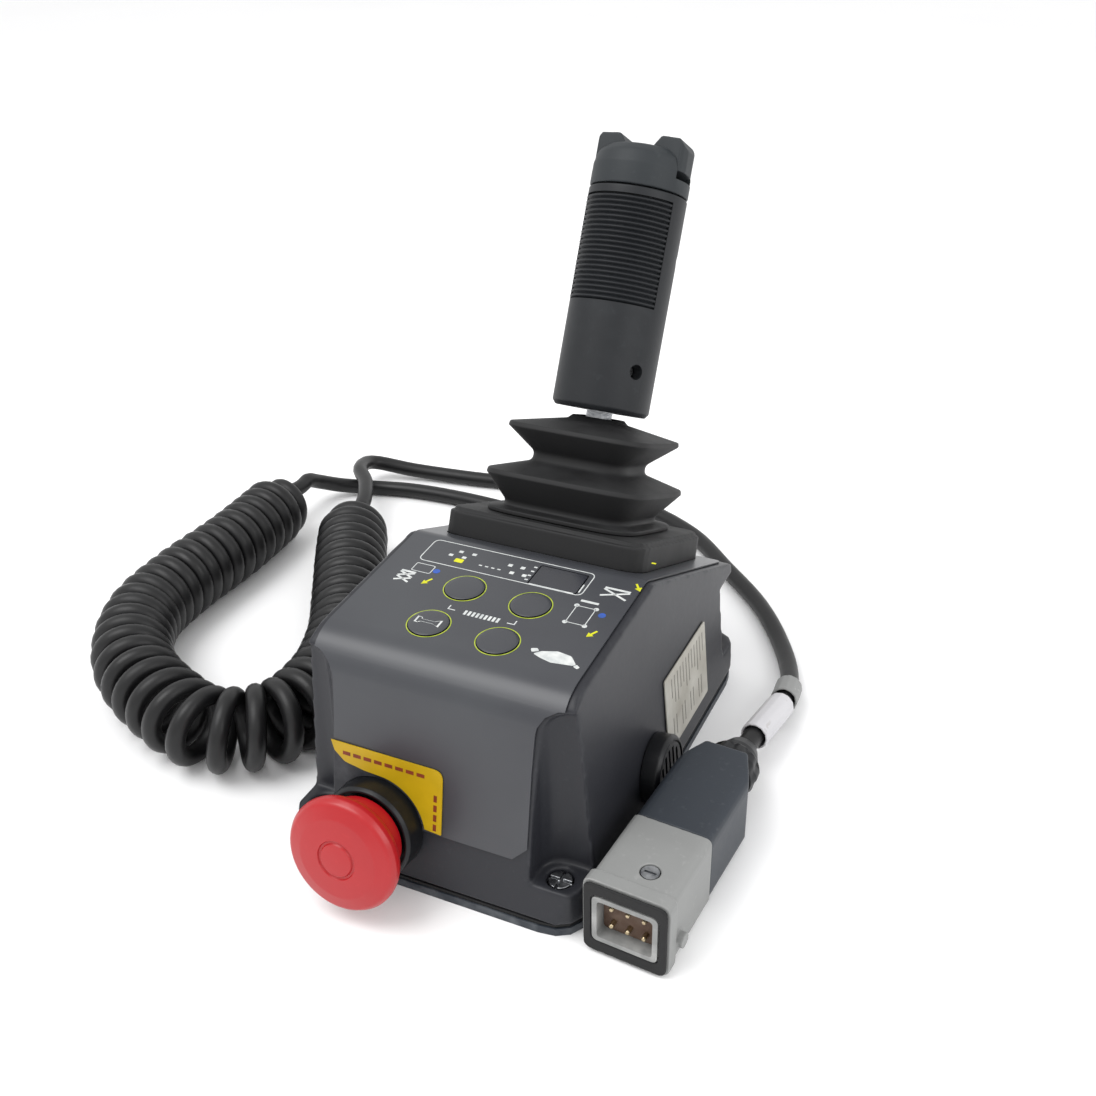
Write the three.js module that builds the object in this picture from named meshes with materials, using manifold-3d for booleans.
// Platform control box: a hand control station with a spring-centred joystick, a stop
// button, a membrane keypad, an alarm sounder and a curly cord that ends in a plug.
// Millimetres, +Z up, +Y to the rear, origin under the middle of the base plate.
import * as THREE from 'three';
import { mergeVertices } from 'three/addons/utils/BufferGeometryUtils.js';
import Module from 'manifold-3d';

const wasm = await Module();
wasm.setup();

// ---------------------------------------------------------------- driving dimensions
const GAP = 0.3;              // clearance between pieces that touch

const HOUSE_W = 110;          // housing width at the foot
const HOUSE_L = 167;          // housing depth at the foot
const TOP_W = 95.6;           // housing width at its front top edge
const FRONT_TOP_Z = 82.5;     // height of the front top edge
const FRONT_LEAN = 15;        // how far the front face leans back on its way up
const KNEE_Y = 0;             // where the key panel meets the rear slope
const KNEE_Z = 86.5;
const REAR_TOP_Z = 51;        // height of the rear wall
const REAR_LEAN = 2.4;
const WALL = 3;
const FOOT_R = 14;            // plan radius of the foot corners
const BROW_R = 15;            // round of the front top edge
const NICHE_X = 37;           // corner niches: half width of the front face between them
const NICHE_DEPTH = 17.5;     // and how far they reach along the side
const NICHE_R = 9;
const NICHE_ROOF = 4;         // material left above a niche
const NICHE_ARCH = 12;
const LEDGE_Z = 17;           // height of the ledge a cover screw sits on

const BASE_T = 3;             // base plate
const GASKET_T = 1;
const SCREW_R = 2.2;          // cover screws
const SCREW_HEAD_R = 4;
const SCREW_HEAD_H = 3;
const SCREW_IN = 10;          // screw axis in from the foot's two sides
const BOSS_R = 4.4;
const BOSS_H = 5;

const SHEET_T = 0.5;          // membrane sheet over panel, brow and front
const SHEET_EDGE = 2.6;       // bare margin beside the sheet
const SHEET_FOOT_Z = 25;      // lower edge on the front face

const KEY_R = 6.8;            // membrane keys
const KEY_T = 0.6;
const KEY_TRAVEL = 0.6;
const KEY_STEM_R = 2.4;
const SWITCH_SIDE = 6.2;
const SWITCH_H = 4;
const BOARD_T = 1.6;
const BOARD_W = 62;
const BOARD_FRONT_ROOM = 5.5;  // space between the board and the panel's two ends
const BOARD_REAR_ROOM = 3;
const WINDOW_W = 18;          // display window
const WINDOW_L = 11.6;
const MODULE_RIM = 3;         // the display module's length past the window's
const PILLAR_R = 2.5;         // pillars that hold the board under the panel
const PILLAR_X = 28;
const PILLAR_IN = 4;          // from the board's front edge
const PILLAR_ROOM = 3;        // from the display module

const STOP_X = -18.5;         // stop button, on the front face
const STOP_Z = 22.7;
const STOP_HEAD_R = 20;
const STOP_COLLAR_R = 16.8;
const STOP_BARREL_R = 11;
const STOP_ROD_R = 7;
const STOP_TRAVEL = 5;

const ALARM_Y = -13;          // sounder, on the right wall
const ALARM_Z = 19;
const ALARM_R = 13;
const ALARM_OUT = 7.2;
const ALARM_BARREL_R = 10;

const FRAME_W = 78;           // boot frame on the rear slope
const FRAME_L = 74;
const FRAME_T = 11;
const MOUTH = 40;             // square opening for the joystick
const PIVOT_DROP = 11;        // pivot below the slope's surface
const LEVER_TILT = -3;        // lean from the normal of the slope, degrees; minus leans backward
const SHAFT_R = 5;
const PIN_R = 2.5;
const BELLOWS_TOP = 50;       // bellows height above the slope
const BELLOWS_T = 1.6;

const GRIP_R = 18.5;          // handle
const GRIP_FOOT = 52.5;
const GRIP_TOP = 134;
const GRIP_WALL = 4;
const PLUG_TOP = 75;          // solid lower end of the grip
const PAD_FOOT = 92;          // ribbed pad
const PAD_TOP = 131;
const PAD_T = 1.3;
const PAD_HALF_ANGLE = 66;
const CAP_TOP = 150.5;
const ROCKER_L = 35.6;
const ROCKER_W = 16;
const ROCKER_PIVOT = 146;
const TRIGGER_PIVOT = 112;
const TRIGGER_PIVOT_Y = 6;
const TRIGGER_W = 13;
const TRIGGER_DROP = 27;      // how far the trigger hangs below its pivot
const TRIGGER_ROOM = 3.5;     // its foot swings down into this much more of the slot

const GLAND_X = -20;          // cord gland, on the rear wall
const GLAND_Z = 20;
const GLAND_R = 11;
const GLAND_THREAD_R = 7.7;
const GLAND_OUT = 20;
const CORD_R = 3.75;
const COIL_R = 16.5;          // outer radius of the curly part

const PLUG_SIDE = 29;         // rectangular plug
const PLUG_HOUSE_L = 34;
const PLUG_HOOD_L = 46;
const PLUG_GLAND_L = 17;
const PLUG_ROOM = 1.9;        // space between the housing's foot and the plug
const PLUG_Y = -83;
const PLUG_TURN = -4.1;       // degrees about Z
const PLUG_LIFT = 0.3;
const PEG_OUT = 2.2;          // locking pegs proud of the plug's sides
const SLEEVE_R = 5.4;         // marker sleeves on the cord

// ---------------------------------------------------------------- helpers
const DEG = Math.PI / 180;
const V2 = (x, y) => new THREE.Vector2(x, y);
const V3 = (x, y, z) => new THREE.Vector3(x, y, z);

function material(colour, roughness, metalness = 0) {
  return new THREE.MeshStandardMaterial({ color: colour, roughness, metalness });
}

// A closed three.js geometry as a manifold-3d solid.
function solid(geometry) {
  const bare = geometry.clone();
  bare.deleteAttribute('normal');
  bare.deleteAttribute('uv');
  const merged = mergeVertices(bare, 1e-4);
  return new wasm.Manifold(new wasm.Mesh({
    numProp: 3,
    vertProperties: new Float32Array(merged.attributes.position.array),
    triVerts: new Uint32Array(merged.index.array),
  }));
}

// A manifold-3d solid back as a three.js geometry.
function geometryOf(body) {
  const { vertProperties, triVerts } = body.getMesh();
  const geometry = new THREE.BufferGeometry();
  geometry.setAttribute('position', new THREE.BufferAttribute(vertProperties, 3));
  geometry.setIndex(new THREE.BufferAttribute(triVerts, 1));
  geometry.computeVertexNormals();
  return geometry;
}

function piece(parent, name, body, finish) {
  const geometry = body.isBufferGeometry ? body : geometryOf(body);
  const mesh = new THREE.Mesh(geometry, finish);
  mesh.name = name;
  parent.add(mesh);
  return mesh;
}

// An outline whose corners are rounded, each by its own radius.
function roundedOutline(points, radii) {
  const shape = new THREE.Shape();
  points.forEach((corner, i) => {
    const before = points[(i + points.length - 1) % points.length];
    const after = points[(i + 1) % points.length];
    const toBefore = before.clone().sub(corner).normalize();
    const toAfter = after.clone().sub(corner).normalize();
    const half = Math.acos(THREE.MathUtils.clamp(toBefore.dot(toAfter), -1, 1)) / 2;
    const radius = Array.isArray(radii) ? radii[i] : radii;
    const back = radius / Math.tan(half);
    const start = corner.clone().addScaledVector(toBefore, back);
    const end = corner.clone().addScaledVector(toAfter, back);
    if (i === 0) shape.moveTo(start.x, start.y);
    else shape.lineTo(start.x, start.y);
    if (radius > 0) shape.quadraticCurveTo(corner.x, corner.y, end.x, end.y);
  });
  shape.closePath();
  return shape;
}

function roundedRectangle(width, height, radius, x = 0, y = 0) {
  const w = width / 2;
  const h = height / 2;
  return roundedOutline([V2(x - w, y - h), V2(x + w, y - h), V2(x + w, y + h), V2(x - w, y + h)], radius);
}

// A convex outline moved inwards by a distance (outwards if negative).
function inset(points, distance) {
  const lines = points.map((p, i) => {
    const q = points[(i + 1) % points.length];
    const along = q.clone().sub(p).normalize();
    const inward = V2(-along.y, along.x);
    return { at: p.clone().addScaledVector(inward, distance), along };
  });
  return lines.map((line, i) => {
    const last = lines[(i + lines.length - 1) % lines.length];
    const cross = last.along.x * line.along.y - last.along.y * line.along.x;
    const between = line.at.clone().sub(last.at);
    const t = (between.x * line.along.y - between.y * line.along.x) / cross;
    return last.at.clone().addScaledVector(last.along, t);
  });
}

function slab(shape, z0, z1, segments = 4) {
  const geometry = new THREE.ExtrudeGeometry(shape, {
    depth: z1 - z0, bevelEnabled: false, curveSegments: segments,
  });
  geometry.translate(0, 0, z0);
  return solid(geometry);
}

// An outline drawn in Y and Z, pushed along X from x0 to x1.
function alongX(shape, x0, x1, segments = 4) {
  const geometry = new THREE.ExtrudeGeometry(shape, {
    depth: x1 - x0, bevelEnabled: false, curveSegments: segments,
  });
  geometry.translate(0, 0, x0);
  geometry.applyMatrix4(new THREE.Matrix4().makeBasis(V3(0, 1, 0), V3(0, 0, 1), V3(1, 0, 0)));
  return solid(geometry);
}

// An outline drawn in X and Z, pushed along Y from y0 to y1.
function alongY(shape, y0, y1, segments = 4) {
  const geometry = new THREE.ExtrudeGeometry(shape, {
    depth: y1 - y0, bevelEnabled: false, curveSegments: segments,
  });
  geometry.translate(0, 0, -y1);
  geometry.applyMatrix4(new THREE.Matrix4().makeBasis(V3(1, 0, 0), V3(0, 0, 1), V3(0, -1, 0)));
  return solid(geometry);
}

function box(x0, x1, y0, y1, z0, z1) {
  const geometry = new THREE.BoxGeometry(x1 - x0, y1 - y0, z1 - z0);
  geometry.translate((x0 + x1) / 2, (y0 + y1) / 2, (z0 + z1) / 2);
  return solid(geometry);
}

// A turned piece about Z: its profile is pairs of radius and height, listed upwards on the outside.
function turned(profile, segments = 24) {
  const geometry = new THREE.LatheGeometry(profile.map(([r, z]) => V2(r, z)), segments);
  geometry.rotateX(Math.PI / 2);
  return solid(geometry);
}

function rod(radius, z0, z1, segments = 24, x = 0, y = 0) {
  return turned([[0, z0], [radius, z0], [radius, z1], [0, z1]], segments).translate([x, y, 0]);
}

function ring(outer, inner, z0, z1, segments = 24) {
  return turned([[inner, z0], [outer, z0], [outer, z1], [inner, z1], [inner, z0]], segments);
}

function hexNut(outer, inner, z0, z1) {
  return rod(outer, z0, z1, 6).subtract(rod(inner, z0 - 1, z1 + 1, 24));
}

function rodAlongX(radius, x0, x1, y, z, segments = 16) {
  return rod(radius, x0, x1, segments).rotate([0, 90, 0]).translate([0, y, z]);
}

function rodAlongY(radius, y0, y1, x, z, segments = 16) {
  return rod(radius, y0, y1, segments).rotate([-90, 0, 0]).translate([x, 0, z]);
}

// A tube along a smooth curve through points.
function tube(points, radius, sides, steps) {
  const curve = new THREE.CatmullRomCurve3(points, false, 'centripetal');
  const section = new THREE.Shape();
  for (let i = 0; i < sides; i += 1) {
    const angle = (i / sides) * 2 * Math.PI;
    const x = radius * Math.cos(angle);
    const y = radius * Math.sin(angle);
    if (i === 0) section.moveTo(x, y);
    else section.lineTo(x, y);
  }
  section.closePath();
  return new THREE.ExtrudeGeometry(section, { steps, extrudePath: curve, bevelEnabled: false });
}

// A group placed and turned about X and Z, with its matrix ready for cutting tools.
function placed(x, y, z, turnX = 0, turnY = 0, turnZ = 0) {
  const group = new THREE.Group();
  group.position.set(x, y, z);
  group.rotation.set(turnX * DEG, turnY * DEG, turnZ * DEG);
  group.updateMatrix();
  return group;
}

function inGroup(group, body) {
  return body.transform(Array.from(group.matrix.elements));
}

function union(bodies) {
  return bodies.reduce((sum, body) => sum.add(body));
}

// ---------------------------------------------------------------- materials
const charcoal = material('#2f3138', 0.45);
const plateGrey = material('#3a3b40', 0.5, 0.3);
const sheetGrey = material('#56575a', 0.4);
const rubber = material('#1c1c1d', 0.8);
const gripBlack = material('#25282b', 0.6);
const capGrey = material('#33373b', 0.6);
const red = material('#c3262b', 0.35);
const yellow = material('#c0a818', 0.45);
const paleGrey = material('#8d8f93', 0.5);
const boardGreen = material('#1d4a2c', 0.6);
const blackPlastic = material('#18191b', 0.45);
const glassBlack = material('#101216', 0.1);
const steel = material('#a9abad', 0.3, 1);
const brown = material('#5a4538', 0.6);
const labelSilver = material('#b5b4ae', 0.45);
const sleeveWhite = material('#c9c8cc', 0.5);
const cordBlack = material('#1a1a1b', 0.55);

// ---------------------------------------------------------------- housing shapes
const FRONT_TOP_Y = -HOUSE_L / 2 + FRONT_LEAN;
const REAR_TOP_Y = HOUSE_L / 2 - REAR_LEAN;
const SIDE_DRAFT = (HOUSE_W - TOP_W) / 2 / FRONT_TOP_Z;
const SHELL_Z = BASE_T + GAP + GASKET_T + GAP;
const sideX = (z) => HOUSE_W / 2 - SIDE_DRAFT * z;
const frontY = (z) => -HOUSE_L / 2 + FRONT_LEAN * z / FRONT_TOP_Z;
const rearY = (z) => HOUSE_L / 2 - REAR_LEAN * z / REAR_TOP_Z;
const MAX_Z = Math.max(KNEE_Z, FRONT_TOP_Z) + 10;

const sidePoints = [
  V2(-HOUSE_L / 2, 0), V2(HOUSE_L / 2, 0), V2(REAR_TOP_Y, REAR_TOP_Z),
  V2(KNEE_Y, KNEE_Z), V2(FRONT_TOP_Y, FRONT_TOP_Z),
];
const frontPoints = [
  V2(-sideX(0), 0), V2(sideX(0), 0), V2(sideX(MAX_Z), MAX_Z), V2(-sideX(MAX_Z), MAX_Z),
];

// The housing's outer shape, moved inwards by a distance (outwards if negative).
function bodyShape(distance) {
  const side = roundedOutline(inset(sidePoints, distance), [0, 0, 4, 8, Math.max(BROW_R - distance, 1)]);
  const front = roundedOutline(inset(frontPoints, distance), 0);
  const plan = roundedRectangle(HOUSE_W - 2 * distance, HOUSE_L - 2 * distance, FOOT_R - distance);
  return alongX(side, -HOUSE_W, HOUSE_W, 8)
    .intersect(alongY(front, -HOUSE_L, HOUSE_L))
    .intersect(slab(plan, -5, MAX_Z + 5));
}

// The space of one corner niche, grown by a margin on every side.
function niche(sx, sy, margin) {
  const roof = (sy < 0 ? FRONT_TOP_Z : REAR_TOP_Z) - NICHE_ROOF + margin;
  const inX = NICHE_X - margin;
  const inY = HOUSE_L / 2 - NICHE_DEPTH - margin;
  const outX = HOUSE_W / 2 + 10;
  const outY = HOUSE_L / 2 + 10;
  const face = roundedOutline(
    [V2(inX, LEDGE_Z - margin), V2(outX, LEDGE_Z - margin), V2(outX, roof), V2(inX, roof)],
    [0, 0, 0, NICHE_ARCH],
  );
  const plan = roundedOutline(
    [V2(inX, inY), V2(outX, inY), V2(outX, outY), V2(inX, outY)],
    [NICHE_R, 0, 0, 0],
  );
  const space = alongY(face, 0, outY).intersect(slab(plan, -5, MAX_Z + 5));
  return mirrored(space, sx, sy);
}

// A body made in the +X +Y corner, moved to another corner.
function mirrored(body, sx, sy) {
  let result = body;
  if (sx < 0) result = result.mirror([1, 0, 0]);
  if (sy < 0) result = result.mirror([0, 1, 0]);
  return result;
}

const corners = [[-1, -1], [1, -1], [1, 1], [-1, 1]];
const screwX = HOUSE_W / 2 - SCREW_IN;
const screwY = HOUSE_L / 2 - SCREW_IN;

// ---------------------------------------------------------------- placing groups
const panelTilt = Math.atan2(KNEE_Z - FRONT_TOP_Z, KNEE_Y - FRONT_TOP_Y) / DEG;
const slopeTilt = Math.atan2(REAR_TOP_Z - KNEE_Z, REAR_TOP_Y - KNEE_Y) / DEG;
const frontTilt = Math.atan2(FRONT_LEAN, FRONT_TOP_Z) / DEG;
const sideTilt = Math.atan(SIDE_DRAFT) / DEG;
const rearTilt = Math.atan2(REAR_LEAN, REAR_TOP_Z) / DEG;

const root = new THREE.Group();
const panel = placed(0, KNEE_Y, KNEE_Z, panelTilt);
const slopeY = (KNEE_Y + REAR_TOP_Y) / 2;
const slopeZ = (KNEE_Z + REAR_TOP_Z) / 2;
const slope = placed(0, slopeY, slopeZ, slopeTilt);
const front = placed(STOP_X, frontY(STOP_Z), STOP_Z, 90 - frontTilt);
const right = placed(sideX(ALARM_Z), ALARM_Y, ALARM_Z, 0, 90 - sideTilt);
const rear = placed(GLAND_X, rearY(GLAND_Z), GLAND_Z, -90 + rearTilt);
root.add(panel, slope, front, right, rear);

// Key and window places on the panel. The mode keys keep their distance to the window,
// and the other two keep theirs to the panel's middle.
const WINDOW_X = 16.5;
const WINDOW_Y = -10.2;
const PANEL_MIDDLE = (FRONT_TOP_Y - KNEE_Y) / 2;
const keys = [
  ['horn', -12.6, PANEL_MIDDLE - 14.35],
  ['mode_left', -10.9, WINDOW_Y - 16.4],
  ['mode_right', 14.2, WINDOW_Y - 17.1],
  ['speed', 12.8, PANEL_MIDDLE - 14.65],
];
const BOARD_L = -PANEL_MIDDLE * 2 - BOARD_FRONT_ROOM - BOARD_REAR_ROOM;
const BOARD_Y = -BOARD_REAR_ROOM - BOARD_L / 2;
const boardTop = -(WALL + 2 * KEY_TRAVEL + SWITCH_H + 2 * GAP);
const pillarFront = BOARD_Y - BOARD_L / 2 + PILLAR_IN;
const pillarRear = WINDOW_Y - (WINDOW_L + MODULE_RIM) / 2 - PILLAR_R - PILLAR_ROOM;
const pillars = [pillarFront, pillarRear].flatMap((y) => [[-PILLAR_X, y], [PILLAR_X, y]]);

// ---------------------------------------------------------------- housing
function housingShell() {
  const cavity = bodyShape(WALL);
  const cornerBlocks = corners.map(([sx, sy]) => {
    const inX = NICHE_X - WALL;
    const inY = HOUSE_L / 2 - NICHE_DEPTH - WALL;
    return mirrored(box(inX, HOUSE_W, inY, HOUSE_L, -5, MAX_Z), sx, sy);
  });
  const screwHoles = corners.map(([sx, sy]) => union([
    rod(SCREW_R + GAP, -1, LEDGE_Z + 1, 10),
    rod(SCREW_HEAD_R + 0.6, LEDGE_Z - SCREW_HEAD_H - 1, LEDGE_Z + 1, 16),
    rod(BOSS_R + GAP, -1, BASE_T + BOSS_H + GAP, 16),
  ]).translate([sx * screwX, sy * screwY, 0]));
  const openings = [
    inGroup(slope, slab(roundedRectangle(MOUTH, MOUTH, 5), -4 * WALL, 4 * WALL)),
    inGroup(front, rod(STOP_BARREL_R + GAP, -2 * WALL, 2 * WALL)),
    inGroup(right, rod(ALARM_BARREL_R + GAP, -2 * WALL, 2 * WALL)),
    inGroup(rear, rod(GLAND_THREAD_R + GAP, -2 * WALL, 2 * WALL)),
    inGroup(panel, slab(roundedRectangle(WINDOW_W, WINDOW_L, 0.8, WINDOW_X, WINDOW_Y), -2 * WALL, 2 * WALL)),
    ...keys.map(([, x, y]) => inGroup(panel, rod(KEY_STEM_R + GAP, -2 * WALL, 2 * WALL, 12, x, y))),
  ];
  const posts = pillars.map(([x, y]) => inGroup(
    panel,
    rod(PILLAR_R, boardTop + GAP, -WALL / 2, 12, x, y),
  ));
  let shell = bodyShape(0).subtract(box(-HOUSE_W, HOUSE_W, -HOUSE_L, HOUSE_L, -10, SHELL_Z));
  shell = shell.subtract(cavity.subtract(union(cornerBlocks)));
  shell = shell.subtract(union(corners.map(([sx, sy]) => niche(sx, sy, 0))));
  shell = shell.subtract(union(screwHoles)).subtract(union(openings));
  return shell.add(union(posts));
}

piece(root, 'housing_shell', housingShell(), charcoal);

function basePlate() {
  const plate = slab(roundedRectangle(HOUSE_W - 1, HOUSE_L - 1, FOOT_R - 0.5), 0, BASE_T);
  const bosses = corners.map(([sx, sy]) => rod(BOSS_R, 0, BASE_T + BOSS_H, 16, sx * screwX, sy * screwY));
  const holes = corners.map(([sx, sy]) => rod(SCREW_R + GAP, 1, 20, 10, sx * screwX, sy * screwY));
  return plate.add(union(bosses)).subtract(union(holes));
}

function baseGasket() {
  const outer = slab(roundedRectangle(HOUSE_W - 2, HOUSE_L - 2, FOOT_R - 1), 0, GASKET_T);
  const mouth = roundedRectangle(HOUSE_W - 2 * WALL, HOUSE_L - 2 * WALL, FOOT_R - WALL);
  const inner = slab(mouth, -1, 2 * GASKET_T);
  const holes = corners.map(([sx, sy]) => rod(BOSS_R + GAP, -1, 2, 16, sx * screwX, sy * screwY));
  return outer.subtract(inner).subtract(union(holes)).translate([0, 0, BASE_T + GAP]);
}

piece(root, 'base_plate', basePlate(), plateGrey);
piece(root, 'base_gasket', baseGasket(), rubber);

corners.forEach(([sx, sy], i) => {
  const under = LEDGE_Z - SCREW_HEAD_H - 1 + GAP;
  const crown = under + SCREW_HEAD_H;
  const slot = box(-SCREW_HEAD_R, SCREW_HEAD_R, -0.5, 0.5, crown - 1.2, crown + 1);
  const head = rod(SCREW_HEAD_R, under, under + SCREW_HEAD_H, 16).subtract(slot)
    .subtract(slot.rotate([0, 0, 90]));
  const screw = head.add(rod(SCREW_R, 1 + GAP, under + 0.5, 10));
  piece(root, `cover_screw_${i + 1}`, screw.translate([sx * screwX, sy * screwY, 0]), steel);
});

// ---------------------------------------------------------------- membrane panel
function panelSheet() {
  const layer = bodyShape(-GAP - SHEET_T).subtract(bodyShape(-GAP));
  const topHalf = sideX(KNEE_Z) - SHEET_EDGE;
  const rearHalf = sideX(REAR_TOP_Z) - SHEET_EDGE - 0.5;
  const rearEnd = REAR_TOP_Y - 4;
  const outline = roundedOutline([
    V2(-topHalf, -HOUSE_L), V2(topHalf, -HOUSE_L), V2(topHalf, KNEE_Y),
    V2(rearHalf, rearEnd), V2(-rearHalf, rearEnd), V2(-topHalf, KNEE_Y),
  ], [0, 0, 0, 4, 4, 0]);
  const cut = NICHE_X - 1;
  const foot = roundedOutline([
    V2(-HOUSE_W, FRONT_TOP_Z - 30), V2(-cut, FRONT_TOP_Z - 30), V2(-cut, SHEET_FOOT_Z + 5),
    V2(-cut + 5, SHEET_FOOT_Z), V2(cut - 5, SHEET_FOOT_Z), V2(cut, SHEET_FOOT_Z + 5),
    V2(cut, FRONT_TOP_Z - 30), V2(HOUSE_W, FRONT_TOP_Z - 30), V2(HOUSE_W, MAX_Z + 9), V2(-HOUSE_W, MAX_Z + 9),
  ], 0);
  const frontPart = alongY(foot, -HOUSE_L, FRONT_TOP_Y + BROW_R);
  const topPart = box(-HOUSE_W, HOUSE_W, FRONT_TOP_Y, HOUSE_L, REAR_TOP_Z - 1, MAX_Z + 9);
  let sheet = layer.intersect(slab(outline, 0, MAX_Z + 9)).intersect(frontPart.add(topPart));
  sheet = sheet.subtract(niche(-1, -1, 1)).subtract(niche(1, -1, 1));
  sheet = sheet.subtract(niche(-1, 1, 1)).subtract(niche(1, 1, 1));
  const boot = roundedRectangle(FRAME_W + 2 * GAP, FRAME_L + 2 * GAP, 8 + GAP);
  sheet = sheet.subtract(inGroup(slope, slab(boot, -5, 5)));
  sheet = sheet.subtract(inGroup(front, rod(STOP_COLLAR_R + GAP, -3, 5)));
  const window = roundedRectangle(WINDOW_W + 0.4, WINDOW_L + 0.4, 1, WINDOW_X, WINDOW_Y);
  sheet = sheet.subtract(inGroup(panel, slab(window, -3, 5)));
  keys.forEach(([, x, y]) => {
    sheet = sheet.subtract(inGroup(panel, rod(KEY_R + GAP, -3, 5, 20, x, y)));
  });
  return sheet;
}

piece(root, 'panel_sheet', panelSheet(), sheetGrey);

const keyFoot = GAP + KEY_TRAVEL + 0.1;
const stemFoot = boardTop + SWITCH_H + KEY_TRAVEL + GAP;
keys.forEach(([name, x, y]) => {
  const cap = turned([
    [0, keyFoot], [KEY_R, keyFoot], [KEY_R, keyFoot + KEY_T * 0.5],
    [KEY_R * 0.6, keyFoot + KEY_T], [0, keyFoot + KEY_T * 1.2],
  ], 20);
  const key = cap.add(rod(KEY_STEM_R, stemFoot, keyFoot + 0.3, 12));
  piece(panel, `key_${name}`, key.translate([x, y, 0]), sheetGrey);
  const half = SWITCH_SIDE / 2;
  const body = box(x - half, x + half, y - half, y + half, boardTop + GAP, boardTop + SWITCH_H);
  piece(panel, `switch_${name}`, body, blackPlastic);
});

function controlBoard() {
  return slab(roundedRectangle(BOARD_W, BOARD_L, 2, 0, BOARD_Y), boardTop - BOARD_T, boardTop);
}

const WINDOW_TOP = GAP + SHEET_T;
const moduleOutline = roundedRectangle(WINDOW_W + 4, WINDOW_L + MODULE_RIM, 0.6, WINDOW_X, WINDOW_Y);
const windowOutline = roundedRectangle(WINDOW_W - 2 * GAP, WINDOW_L - 2 * GAP, 0.6, WINDOW_X, WINDOW_Y);
piece(panel, 'control_board', controlBoard(), boardGreen);
piece(
  panel,
  'display_module',
  slab(moduleOutline, boardTop + GAP, -WALL - GAP),
  blackPlastic,
);
piece(
  panel,
  'display_window',
  slab(windowOutline, -WALL + 1, WINDOW_TOP),
  glassBlack,
);

// ---------------------------------------------------------------- stop button
const sheetTop = 2 * GAP + SHEET_T;
const nutTop = -WALL - GAP;
const nutFoot = nutTop - 4;

function stopLegend() {
  const plate = roundedOutline([
    V2(-21, 24), V2(-17, 13), V2(24, 3), V2(24, 26.5), V2(-16.5, 26.5),
  ], [1.5, 0, 0, 3.5, 1]);
  const collar = rod(STOP_COLLAR_R + 1.2, -5, 5, 36);
  return slab(plate, sheetTop, sheetTop + 0.4).subtract(collar);
}

function stopCollar() {
  const seat = 4;
  return turned([
    [STOP_ROD_R + GAP, -20], [STOP_BARREL_R, -20], [STOP_BARREL_R, GAP], [STOP_COLLAR_R, GAP],
    [STOP_COLLAR_R, 8.5], [STOP_COLLAR_R - 1, 9.5], [STOP_COLLAR_R - 1.6, 9.5], [STOP_COLLAR_R - 1.6, seat],
    [STOP_ROD_R + GAP, seat], [STOP_ROD_R + GAP, -20],
  ], 28);
}

const headFoot = 4 + STOP_TRAVEL + 0.4;
const neckR = STOP_COLLAR_R - 2.4;

function stopHead() {
  return turned([
    [STOP_ROD_R + GAP, headFoot], [neckR, headFoot], [neckR, 14], [neckR + 1, 17], [STOP_HEAD_R - 1, 19],
    [STOP_HEAD_R, 20.4], [STOP_HEAD_R, 22.4], [STOP_HEAD_R - 0.8, 23.8], [STOP_HEAD_R * 0.7, 25.4],
    [7, 26.2], [6.6, 25.5], [5.8, 25.5], [5.4, 26.3], [0, 26.6], [0, 19 + GAP], [STOP_ROD_R + GAP, 19 + GAP],
    [STOP_ROD_R + GAP, headFoot],
  ], 28);
}

piece(front, 'stop_legend', stopLegend(), yellow);
piece(front, 'stop_collar', stopCollar(), blackPlastic);
piece(front, 'stop_locknut', hexNut(STOP_BARREL_R + 4, STOP_BARREL_R + GAP, nutFoot, nutTop), blackPlastic);
piece(front, 'stop_plunger', rod(STOP_ROD_R, -20, 19), red);
piece(front, 'stop_head', stopHead(), red);
piece(front, 'stop_contact_block', box(-11, 11, -8, 18, -42, -20 - STOP_TRAVEL - GAP), paleGrey);

// ---------------------------------------------------------------- alarm sounder
function alarmBody() {
  const well = ALARM_OUT - 2.6;
  return turned([
    [0, -13], [ALARM_BARREL_R, -13], [ALARM_BARREL_R, GAP], [ALARM_R, GAP], [ALARM_R, ALARM_OUT - 1.2],
    [ALARM_R - 1.2, ALARM_OUT], [ALARM_R - 2, ALARM_OUT], [ALARM_R - 2, well], [0, well],
  ], 28);
}

function alarmGrille() {
  const foot = ALARM_OUT - 2.6 + GAP;
  const slots = [-2, -1, 0, 1, 2].map((i) => {
    const half = Math.sqrt((ALARM_R - 4) ** 2 - (i * 3.4) ** 2);
    return box(i * 3.4 - 0.8, i * 3.4 + 0.8, -half, half, 0, 20);
  });
  return rod(ALARM_R - 2 - GAP, foot, ALARM_OUT - 0.4, 28).subtract(union(slots).rotate([0, 0, 90]));
}

piece(right, 'alarm_body', alarmBody(), blackPlastic);
piece(right, 'alarm_grille', alarmGrille(), blackPlastic);
piece(right, 'alarm_nut', hexNut(ALARM_BARREL_R + 4, ALARM_BARREL_R + GAP, nutFoot, nutTop), blackPlastic);

function sideLabel() {
  const label = placed(sideX(30), 23, 30, 0, 90 - sideTilt);
  root.add(label);
  piece(label, 'side_label', slab(roundedRectangle(32, 43, 1), GAP, GAP + 0.4), labelSilver);
}

sideLabel();

// ---------------------------------------------------------------- boot and joystick mount
function bootFrame() {
  const outline = roundedRectangle(FRAME_W, FRAME_L, 8);
  const top = roundedRectangle(FRAME_W - 3, FRAME_L - 3, 7);
  const mouth = slab(roundedRectangle(MOUTH + 2, MOUTH + 2, 6), -1, FRAME_T + 1);
  return slab(outline, GAP, FRAME_T - 1.5).add(slab(top, FRAME_T - 2, FRAME_T)).subtract(mouth);
}

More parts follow.
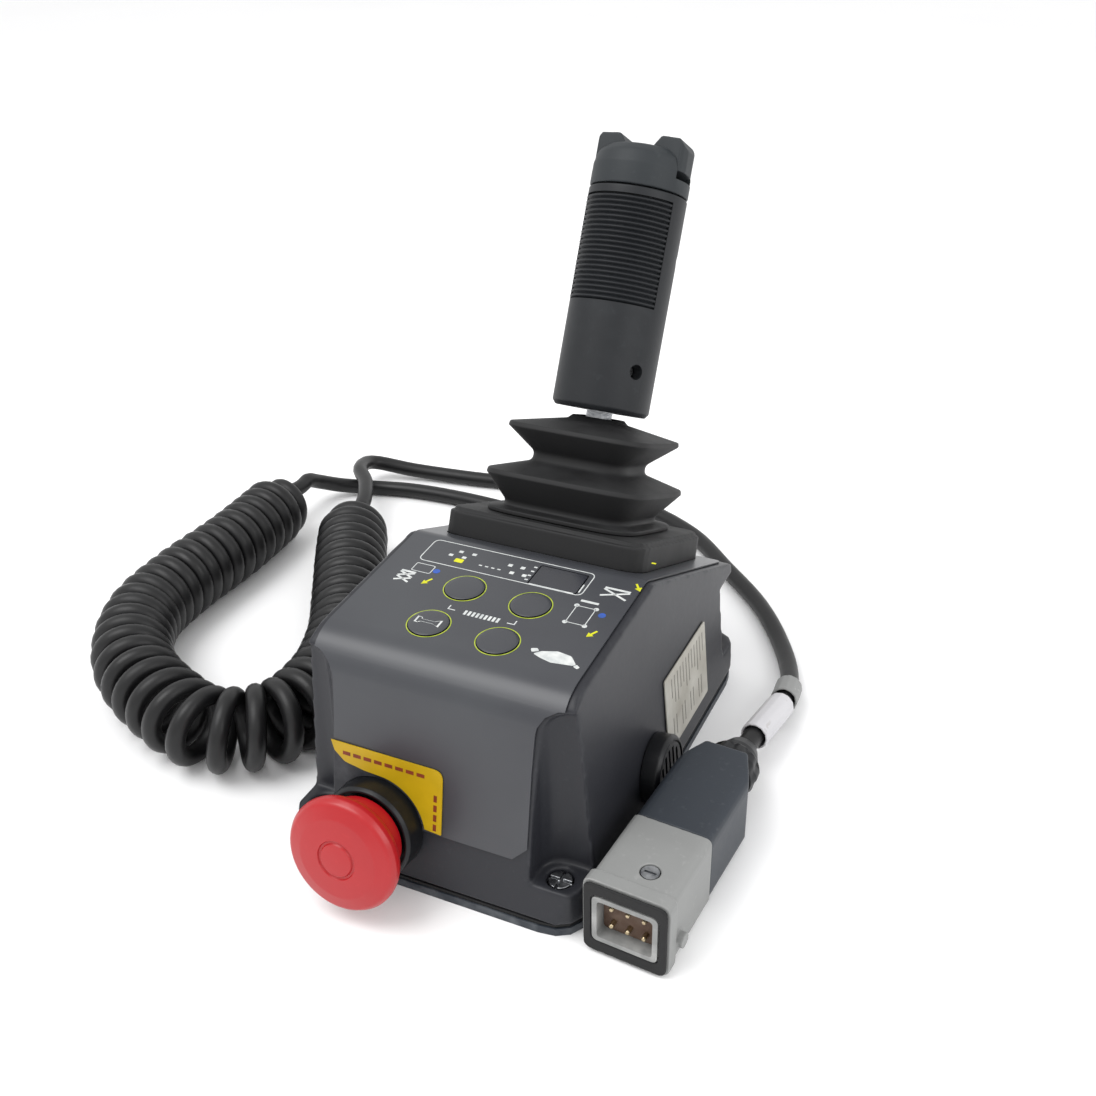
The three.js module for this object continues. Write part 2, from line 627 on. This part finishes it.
// A turned piece whose section is a square with soft corners, leaning more and more towards its top.
function squared(profile, sides, lean) {
  const geometry = new THREE.LatheGeometry(profile.map(([r, z]) => V2(r, z)), sides);
  geometry.rotateX(Math.PI / 2);
  const at = geometry.attributes.position;
  const softness = 5;
  for (let i = 0; i < at.count; i += 1) {
    const x = at.getX(i);
    const y = at.getY(i);
    const r = Math.hypot(x, y);
    const spread = (Math.abs(x / r) ** softness + Math.abs(y / r) ** softness) ** (-1 / softness);
    at.setXY(i, x * spread, y * spread + lean(at.getZ(i)));
  }
  return solid(geometry);
}

const FOLD_WAIST = 25;         // half width of the lowest fold of the bellows

// Half widths and heights of the bellows' outside, from the frame up to the neck.
const folds = [
  [30, FRAME_T + GAP], [30, FRAME_T + 1.8], [FOLD_WAIST, FRAME_T + 2.6], [FOLD_WAIST, 15.5],
  [32.3, 25], [32, 26.6], [18.6, 31], [18.6, 34.5], [28.3, 43], [28, 44.6],
  [10, BELLOWS_TOP - 1.5], [8.6, BELLOWS_TOP],
];

function bootBellows() {
  const inside = folds.slice(2).map(([r, z]) => [Math.max(r - BELLOWS_T, SHAFT_R + 1.2), z]).reverse();
  const foot = [FOLD_WAIST - BELLOWS_T, FRAME_T + GAP];
  const rise = BELLOWS_TOP - FRAME_T;
  const follow = (z) => Math.max(0, Math.min(1, (z - FRAME_T - 3) / (rise - 8)));
  const lean = (z) => -(z + PIVOT_DROP) * Math.tan(LEVER_TILT * DEG) * follow(z);
  return squared([...folds, ...inside, foot, folds[0]], 24, lean);
}

const bracketTop = -WALL - GAP;
const cheekX = 20;
const cheekFoot = -PIVOT_DROP - 15;

function mountBracket() {
  const plate = slab(roundedRectangle(60, 60, 4), bracketTop - 3, bracketTop);
  const mouth = slab(roundedRectangle(MOUTH - 4, MOUTH - 4, 4), bracketTop - 5, bracketTop + 2);
  const cheeks = [-1, 1].map((side) => box(
    side * cheekX - 1.5,
    side * cheekX + 1.5,
    -9,
    9,
    cheekFoot,
    bracketTop - 1,
  ));
  const bore = rodAlongX(PIN_R + GAP, -40, 40, 0, -PIVOT_DROP);
  return plate.subtract(mouth).add(union(cheeks)).subtract(bore);
}

piece(slope, 'boot_frame', bootFrame(), rubber);
piece(slope, 'boot_bellows', bootBellows(), rubber);
piece(slope, 'mount_bracket', mountBracket(), steel);
piece(slope, 'sensor_board', box(-24, 24, -11, 11, cheekFoot - GAP - BOARD_T, cheekFoot - GAP), boardGreen);

// The lever's own frame sits on the pivot; heights inside it count from the slope's surface.
const lever = placed(0, 0, -PIVOT_DROP, LEVER_TILT);
const stick = placed(0, 0, PIVOT_DROP);
lever.add(stick);
slope.add(lever);

piece(stick, 'pivot_pin', rodAlongX(PIN_R, -cheekX - 3, cheekX + 3, 0, -PIVOT_DROP), steel);

function joystickShaft() {
  const hub = rodAlongX(8, -8, 8, 0, -PIVOT_DROP, 24);
  const bore = rodAlongX(PIN_R + GAP, -20, 20, 0, -PIVOT_DROP);
  return rod(SHAFT_R, -PIVOT_DROP - 11, PLUG_TOP + 5, 24).add(hub).subtract(bore);
}

piece(stick, 'joystick_shaft', joystickShaft(), steel);

function returnSpring() {
  const coil = ring(PIN_R + 3.5, PIN_R + 1, 8.6, cheekX - 2.2, 20).rotate([0, 90, 0]);
  return coil.translate([0, 0, -PIVOT_DROP]);
}

piece(stick, 'return_spring', returnSpring(), steel);

// ---------------------------------------------------------------- handle
const inFront = -90;

// A wedge of space between two angles about the handle's axis.
function sector(fromAngle, toAngle, z0, z1) {
  const shape = new THREE.Shape();
  const reach = 2 * GRIP_R;
  shape.moveTo(0, 0);
  shape.lineTo(reach * Math.cos(fromAngle * DEG), reach * Math.sin(fromAngle * DEG));
  shape.absarc(0, 0, reach, fromAngle * DEG, toAngle * DEG, false);
  shape.closePath();
  return slab(shape, z0, z1, 12);
}

const setScrewAngle = inFront + 56;
const setScrewZ = GRIP_FOOT + 16;

function gripBody() {
  const wall = turned([
    [SHAFT_R + GAP, GRIP_FOOT], [GRIP_R - 1.5, GRIP_FOOT], [GRIP_R, GRIP_FOOT + 1.5], [GRIP_R, GRIP_TOP],
    [GRIP_R - GRIP_WALL, GRIP_TOP], [GRIP_R - GRIP_WALL, PLUG_TOP], [SHAFT_R + GAP, PLUG_TOP],
    [SHAFT_R + GAP, GRIP_FOOT],
  ], 36);
  const padRoom = ring(2 * GRIP_R, GRIP_R - PAD_T, PAD_FOOT, PAD_TOP, 36)
    .intersect(sector(inFront - PAD_HALF_ANGLE, inFront + PAD_HALF_ANGLE, PAD_FOOT - 1, PAD_TOP + 1));
  const slotFoot = TRIGGER_PIVOT - TRIGGER_DROP - TRIGGER_ROOM;
  const slot = box(-TRIGGER_W / 2 - 0.5, TRIGGER_W / 2 + 0.5, 8, 30, slotFoot, TRIGGER_PIVOT + 8);
  const pinHole = rodAlongX(2.2, -30, 30, TRIGGER_PIVOT_Y, TRIGGER_PIVOT, 20);
  const screwHole = rod(2.8, SHAFT_R - 1, 30, 20).rotate([0, 90, setScrewAngle]).translate([0, 0, setScrewZ]);
  return wall.subtract(padRoom).subtract(slot).subtract(pinHole).subtract(screwHole);
}

function gripPad() {
  const pad = ring(GRIP_R + 0.2, GRIP_R - PAD_T + GAP, PAD_FOOT + GAP, PAD_TOP - GAP, 36);
  const edge = 1;
  return pad.intersect(sector(
    inFront - PAD_HALF_ANGLE + edge,
    inFront + PAD_HALF_ANGLE - edge,
    PAD_FOOT,
    PAD_TOP,
  ));
}

const capFoot = GRIP_TOP + GAP;
const slotFloor = ROCKER_PIVOT - 6.5;

function gripCap() {
  const dome = turned([
    [GRIP_R - GRIP_WALL, capFoot], [GRIP_R, capFoot], [GRIP_R, CAP_TOP - 8], [GRIP_R - 1, CAP_TOP - 4],
    [GRIP_R - 3.5, CAP_TOP - 1], [GRIP_R - 7, CAP_TOP], [0, CAP_TOP], [0, capFoot + 3],
    [GRIP_R - GRIP_WALL, capFoot + 3], [GRIP_R - GRIP_WALL, capFoot],
  ], 36);
  const slot = box(-2 * GRIP_R, 2 * GRIP_R, -ROCKER_W / 2 - 0.5, ROCKER_W / 2 + 0.5, slotFloor, CAP_TOP + 9);
  const bore = rodAlongY(1.5 + GAP, -30, 30, 0, ROCKER_PIVOT);
  return dome.subtract(slot).subtract(bore);
}

function thumbRocker() {
  const end = ROCKER_L / 2;
  const foot = slotFloor + 3.2;
  const top = CAP_TOP + 4;
  const outline = roundedOutline([
    V2(-end, foot), V2(-6, slotFloor + 2), V2(6, slotFloor + 2), V2(end, foot), V2(end, top - 4),
    V2(end - 2.5, top - 0.4), V2(8, top), V2(4.5, top - 5), V2(-4.5, top - 5), V2(-8, top),
    V2(-end + 2.5, top - 0.4), V2(-end, top - 4),
  ], [0.5, 1, 1, 0.5, 1, 1, 1.5, 1.5, 1.5, 1.5, 1, 1]);
  const body = alongY(outline, -ROCKER_W / 2, ROCKER_W / 2, 4);
  const bore = rodAlongY(1.5 + GAP, -30, 30, 0, ROCKER_PIVOT);
  return body.intersect(rod(GRIP_R - 0.4, 0, 200, 36)).subtract(bore);
}

piece(stick, 'grip_body', gripBody(), gripBlack);
piece(stick, 'grip_pad', gripPad(), gripBlack);
piece(stick, 'grip_cap', gripCap(), capGrey);
piece(stick, 'thumb_rocker', thumbRocker(), capGrey);
piece(stick, 'rocker_pin', rodAlongY(1.5, -GRIP_R + 3, GRIP_R - 3, 0, ROCKER_PIVOT), steel);

const setScrew = rod(2.4, SHAFT_R + GAP, 13, 16).rotate([0, 90, setScrewAngle]).translate([0, 0, setScrewZ]);
piece(stick, 'grip_set_screw', setScrew, steel);

const pinCut = rodAlongX(1.5 + GAP, -30, 30, TRIGGER_PIVOT_Y, TRIGGER_PIVOT);

function enableTrigger() {
  const z = TRIGGER_PIVOT;
  const outline = roundedOutline([
    V2(TRIGGER_PIVOT_Y - 3.5, z - 4), V2(12, z - 10), V2(12, z - TRIGGER_DROP), V2(21, z - TRIGGER_DROP),
    V2(24, z - 15), V2(20, z + 5), V2(TRIGGER_PIVOT_Y - 3.5, z + 4),
  ], [1.5, 1, 1, 2.5, 5, 2, 1.5]);
  return alongX(outline, -TRIGGER_W / 2, TRIGGER_W / 2, 4).subtract(pinCut);
}

piece(stick, 'enable_trigger', enableTrigger(), blackPlastic);
piece(stick, 'trigger_pin', rodAlongX(1.5, -15.5, 15.5, TRIGGER_PIVOT_Y, TRIGGER_PIVOT), steel);
piece(stick, 'trigger_switch', box(-4, 4, -7, 2, TRIGGER_PIVOT - 22, TRIGGER_PIVOT - 9), blackPlastic);
piece(stick, 'rocker_switch', box(-9, 9, -5, 5, GRIP_TOP - 12, GRIP_TOP - 2), blackPlastic);

// ---------------------------------------------------------------- cord gland
function glandBody() {
  const bore = CORD_R + GAP;
  return hexNut(GLAND_R + 1.6, bore, GAP, 6).add(ring(GLAND_THREAD_R, bore, -10, GAP + 1, 24));
}

function glandDome() {
  const bore = CORD_R + GAP;
  const foot = 6 + GAP;
  return turned([
    [bore, foot], [GLAND_R, foot], [GLAND_R, foot + 6], [GLAND_R - 2.5, foot + 10], [bore + 1.6, GLAND_OUT],
    [bore, GLAND_OUT], [bore, foot],
  ], 24);
}

piece(rear, 'gland_body', glandBody(), blackPlastic);
piece(rear, 'gland_dome', glandDome(), blackPlastic);
piece(rear, 'gland_nut', hexNut(GLAND_THREAD_R + 4, GLAND_THREAD_R + GAP, nutFoot, nutTop), blackPlastic);

// ---------------------------------------------------------------- plug
const plugCentreZ = PLUG_SIDE / 2 + PLUG_LIFT + 0.5;
const plugX = HOUSE_W / 2 + PLUG_ROOM + PLUG_SIDE / 2;
const plug = placed(plugX, PLUG_Y, plugCentreZ, 0, 0, PLUG_TURN);
root.add(plug);

const socketW = 23;
const socketH = 19;
const socketDepth = 18;

function plugHousing() {
  const outline = roundedRectangle(PLUG_SIDE - 1, PLUG_SIDE - 1, 3);
  const rim = roundedRectangle(PLUG_SIDE + 1, PLUG_SIDE + 0.4, 3.5);
  const pocket = alongY(roundedRectangle(socketW, socketH, 2.5), -1, socketDepth);
  const wires = alongY(roundedRectangle(14, 10, 2), socketDepth - 1, PLUG_HOUSE_L + 1);
  const pegs = rodAlongX(2.6, -PLUG_SIDE / 2 - PEG_OUT, PLUG_SIDE / 2 + PEG_OUT, 8, -5);
  const screwHole = rod(3.4, 9, 20, 24, 2.4, 12);
  return alongY(outline, 0.2, PLUG_HOUSE_L).add(alongY(rim, 0, 5)).add(pegs)
    .subtract(pocket).subtract(wires).subtract(screwHole);
}

function plugInsert() {
  const slide = 2 * GAP;
  const block = alongY(roundedRectangle(socketW - slide, socketH - slide, 2.2), -1.2, socketDepth - GAP);
  const well = alongY(roundedRectangle(socketW - 4, socketH - 4, 1.5), -3, 9);
  const pinPlaces = [-1, 1].flatMap((row) => [-1, 0, 1].map((column) => [column * 5.6, row * 3.6]));
  const pins = pinPlaces.map(([x, z]) => rodAlongY(1, 3.5, 11, x, z, 10));
  return block.subtract(well).add(union(pins));
}

function plugSeal() {
  const outer = alongY(roundedRectangle(PLUG_SIDE - 0.5, PLUG_SIDE - 1, 3), -1.2, -GAP);
  return outer.subtract(alongY(roundedRectangle(socketW + GAP, socketH + GAP, 2.6), -5, 5));
}

function plugHood() {
  const w = PLUG_SIDE / 2 - 0.7;
  const foot = PLUG_HOUSE_L + GAP;
  const end = PLUG_HOUSE_L + PLUG_HOOD_L;
  const plan = roundedOutline([
    V2(-w, foot), V2(w, foot), V2(w, end - 14), V2(w - 6, end), V2(-w + 6, end), V2(-w, end - 14),
  ], [0, 0, 8, 1.5, 1.5, 8]);
  const section = alongY(roundedRectangle(2 * w, 2 * w, 4), foot, end + 1);
  const cable = rodAlongY(CORD_R, foot, end + 5, 0, 0);
  const bore = alongY(roundedRectangle(14, 10, 2), foot - 1, end - 12).add(cable);
  return section.intersect(slab(plan, -w - 1, w + 1)).subtract(bore);
}

function plugGland() {
  const z0 = PLUG_HOUSE_L + PLUG_HOOD_L + GAP;
  const bore = CORD_R + GAP;
  const end = z0 + PLUG_GLAND_L;
  return turned([
    [bore, z0], [9.5, z0], [10.5, z0 + 4], [9.8, z0 + 8], [8, z0 + 9.5], [7.6, z0 + 12], [6, end - 1],
    [5.4, end], [bore, end], [bore, z0],
  ], 24).rotate([-90, 0, 0]);
}

piece(plug, 'plug_housing', plugHousing(), paleGrey);
piece(plug, 'plug_insert', plugInsert(), brown);
piece(plug, 'plug_seal', plugSeal(), rubber);
piece(plug, 'plug_hood', plugHood(), plateGrey);
piece(plug, 'plug_gland', plugGland(), blackPlastic);

const plugScrewTop = (PLUG_SIDE - 1) / 2 - 0.4;
const plugScrew = turned([[0, 9 + GAP], [1.8, 9 + GAP], [1.8, plugScrewTop - 2], [3, plugScrewTop],
  [0, plugScrewTop]], 24).subtract(box(-2, 2, -0.4, 0.4, plugScrewTop - 1, 20));
piece(plug, 'plug_screw', plugScrew.translate([2.4, 12, 0]), steel);

// ---------------------------------------------------------------- cord
const plugEnd = V3(0, PLUG_HOUSE_L + PLUG_HOOD_L + PLUG_GLAND_L + 2 * GAP, 0).applyMatrix4(plug.matrix);
const glandEnd = V3(0, 0, GLAND_OUT + GAP).applyMatrix4(rear.matrix);
const floorZ = CORD_R + 0.3;
const coilZ = COIL_R + 0.3;

// The curly stretch lies from behind the left wall, round to the left and back again.
const coilRoute = [
  V3(-150, 118, coilZ), V3(-141, 97, coilZ), V3(-127, 72, coilZ), V3(-110, 44, coilZ), V3(-93, 14, coilZ),
  V3(-84, -16, coilZ), V3(-87, -42, coilZ), V3(-106, -56, coilZ), V3(-134, -50, coilZ), V3(-164, -33, coilZ),
  V3(-182, -6, coilZ), V3(-186, 24, coilZ), V3(-185, 60, coilZ), V3(-187, 95, coilZ), V3(-190, 125, coilZ),
];

// A place beyond one end of the curly stretch, on the line in which it points there.
function beyond(end, neighbour, distance) {
  return end.clone().add(end.clone().sub(neighbour).setLength(distance));
}

const nearEnd = coilRoute[0];
const farEnd = coilRoute[coilRoute.length - 1];
const nearExit = (distance) => beyond(nearEnd, coilRoute[1], distance);
const farExit = (distance) => beyond(farEnd, coilRoute[coilRoute.length - 2], distance);

// The plain stretch from the plug, behind the box and over to the coil's near end.
const plugTail = [
  plugEnd, V3(81, 34, 14.2), V3(82, 52, 10.5), V3(79.5, 74, 6.5), V3(70, 98, floorZ), V3(52, 126, floorZ),
  V3(27, 152, floorZ), V3(2, 176, floorZ), V3(-34, 193, floorZ), V3(-80, 195, floorZ), V3(-125, 188, floorZ),
  V3(-158, 182, 5.5), V3(-178, 172, 11), V3(-175, 156, 15.2), V3(-163, 142, 16.6), nearExit(9), nearExit(0.8),
];

// The plain stretch from the gland to the coil's far end; it passes under the other one.
const boxTail = [
  glandEnd, V3(-19.6, 117, 17.5), V3(-24, 134, 10), V3(-38, 149, 5), V3(-62, 159, floorZ),
  V3(-95, 164, floorZ), V3(-127, 165, floorZ), V3(-150, 163, floorZ), V3(-170, 158, floorZ), V3(-184, 149, 7),
  V3(-190, 139, 12.5), farExit(6), farExit(0.8),
];

// A sleeve over the plug's cord, between two shares of that stretch's length.
function sleeve(from, to) {
  const curve = new THREE.CatmullRomCurve3(plugTail, false, 'centripetal');
  const middle = [0, 1, 2].map((i) => curve.getPointAt(from + (to - from) * i / 2));
  const outer = solid(tube(middle, SLEEVE_R, 12, 4));
  return outer.subtract(solid(tube([curve.getPointAt(from - 0.01), ...middle, curve.getPointAt(to + 0.01)],
    CORD_R + 0.8, 12, 6)));
}

piece(root, 'marker_sleeve', sleeve(0.02, 0.085), sleeveWhite);
piece(root, 'end_sleeve', sleeve(0.095, 0.125), paleGrey);
piece(root, 'curly_coil', tube(coilRoute, COIL_R, 12, 30), cordBlack);
piece(root, 'plug_tail', tube(plugTail, CORD_R, 8, 46), cordBlack);
piece(root, 'box_tail', tube(boxTail, CORD_R, 8, 26), cordBlack);

export default root;
